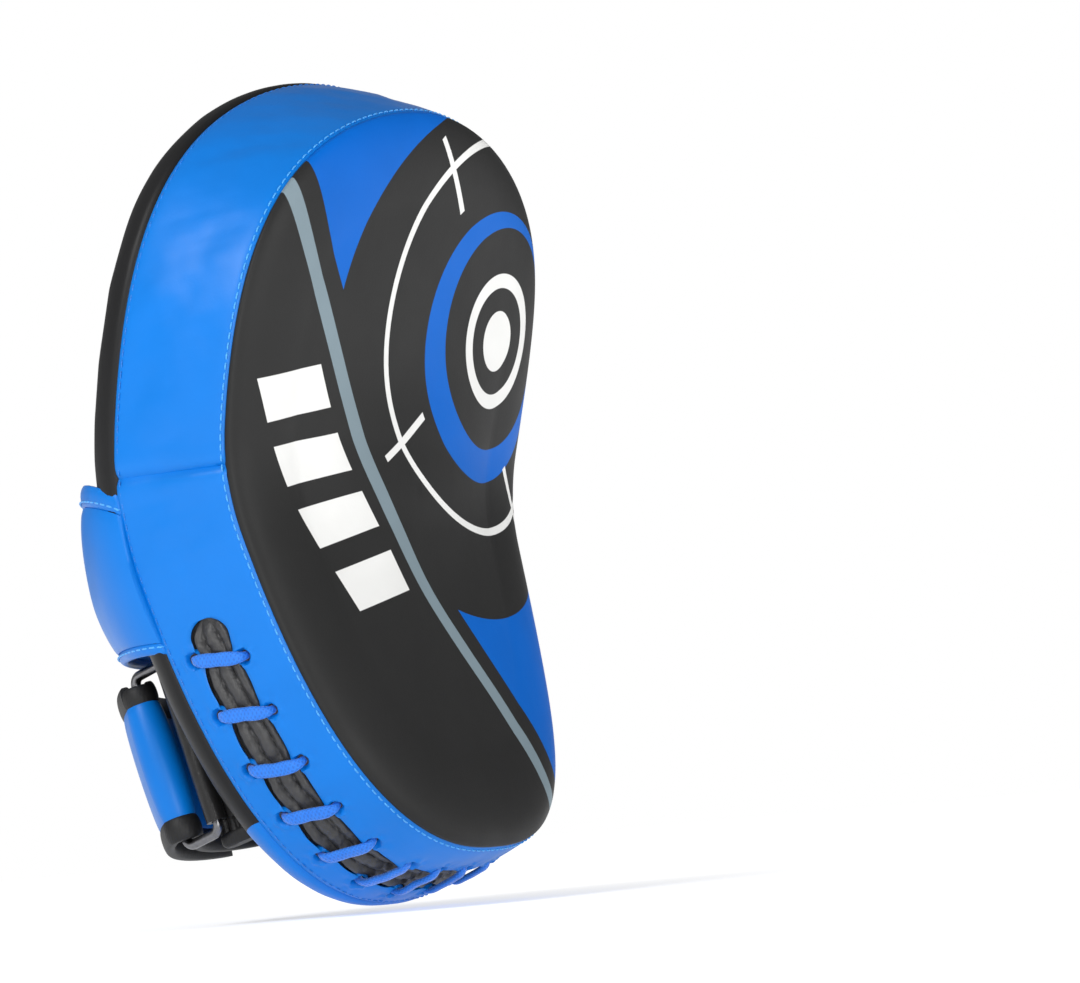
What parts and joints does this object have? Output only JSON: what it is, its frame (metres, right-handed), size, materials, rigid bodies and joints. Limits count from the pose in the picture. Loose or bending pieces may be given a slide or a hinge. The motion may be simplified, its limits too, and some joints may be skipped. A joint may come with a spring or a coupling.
{
  "type": "curved focus mitt",
  "caption": "Curved punching target held on the hand: thick bent strike pad with a laced slot, and a glove compartment with a hook-and-loop wrist strap on its back.",
  "frame": {"origin": "middle of the palm, on the rear surface of the back panel under the palm grip", "axes": "+Z towards the fingertips, -Y out of the strike face, +X towards the thumb side (right-hand mitt seen from the front has its thumb on the right)"},
  "size_m": [0.203, 0.136, 0.2867],
  "materials": {
    "vinyl_black": "satin",
    "vinyl_blue": "satin",
    "foam_soft": "matte",
    "foam_firm": "matte",
    "gusset_black": "gloss",
    "lace_blue": "matte",
    "mesh_black": "matte",
    "webbing_black": "matte",
    "hook_black": "matte",
    "loop_black": "matte",
    "ring_steel": "polished"
  },
  "bodies": {
    "pad": {"face_cover": "vinyl_black", "impact_foam": "foam_soft", "core_foam": "foam_firm", "rear_foam": "foam_soft", "upper_side_band": "vinyl_blue", "lower_side_band": "vinyl_blue", "slot_gusset": "gusset_black", "lace_cord": "lace_blue", "back_panel": "vinyl_black", "heel_panel": "vinyl_blue", "back_padding": "foam_soft", "palm_grip": "vinyl_black", "finger_hood": "vinyl_black", "finger_lining": "mesh_black", "finger_dividers": "mesh_black", "finger_binding": "webbing_black", "thumb_sleeve": "vinyl_black", "thumb_lining": "mesh_black", "hand_cover": "vinyl_blue", "cover_padding": "foam_soft", "cover_lining": "mesh_black", "cover_top_hem": "vinyl_blue", "cover_bottom_hem": "vinyl_blue", "cuff_pinky_skin": "vinyl_black", "cuff_thumb_skin": "vinyl_black", "cuff_foam": "foam_soft", "cuff_lining": "mesh_black", "cuff_binding": "webbing_black", "strap_base": "vinyl_blue", "strap_base_binding": "webbing_black", "loop_patch": "loop_black", "ring_tab": "webbing_black"},
    "ring": {"strap_ring": "ring_steel", "strap_fold": "vinyl_blue", "strap_fold_binding": "webbing_black"},
    "flap": {"strap_end": "vinyl_blue", "strap_end_binding": "webbing_black", "hook_patch": "hook_black"},
    "tip": {"strap_tip": "vinyl_blue", "strap_tip_binding": "webbing_black"}
  },
  "joints": [
    {"name": "ring_swing", "type": "hinge", "parent": "pad", "child": "ring", "pos_m": [-0.05075, -0.0072, -0.08295], "axis": [0, 0.2767, 0.961], "range_deg": [0, 8]},
    {"name": "strap_peel", "type": "hinge", "parent": "ring", "child": "flap", "pos_m": [-0.05129, 0.01309, -0.08879], "axis": [0, 0.2767, 0.961], "range_deg": [0, 120]},
    {"name": "tip_lift", "type": "hinge", "parent": "flap", "child": "tip", "pos_m": [-0.0103, 0.03274, -0.09445], "axis": [0, 0.2767, 0.961], "range_deg": [0, 60]}
  ]
}
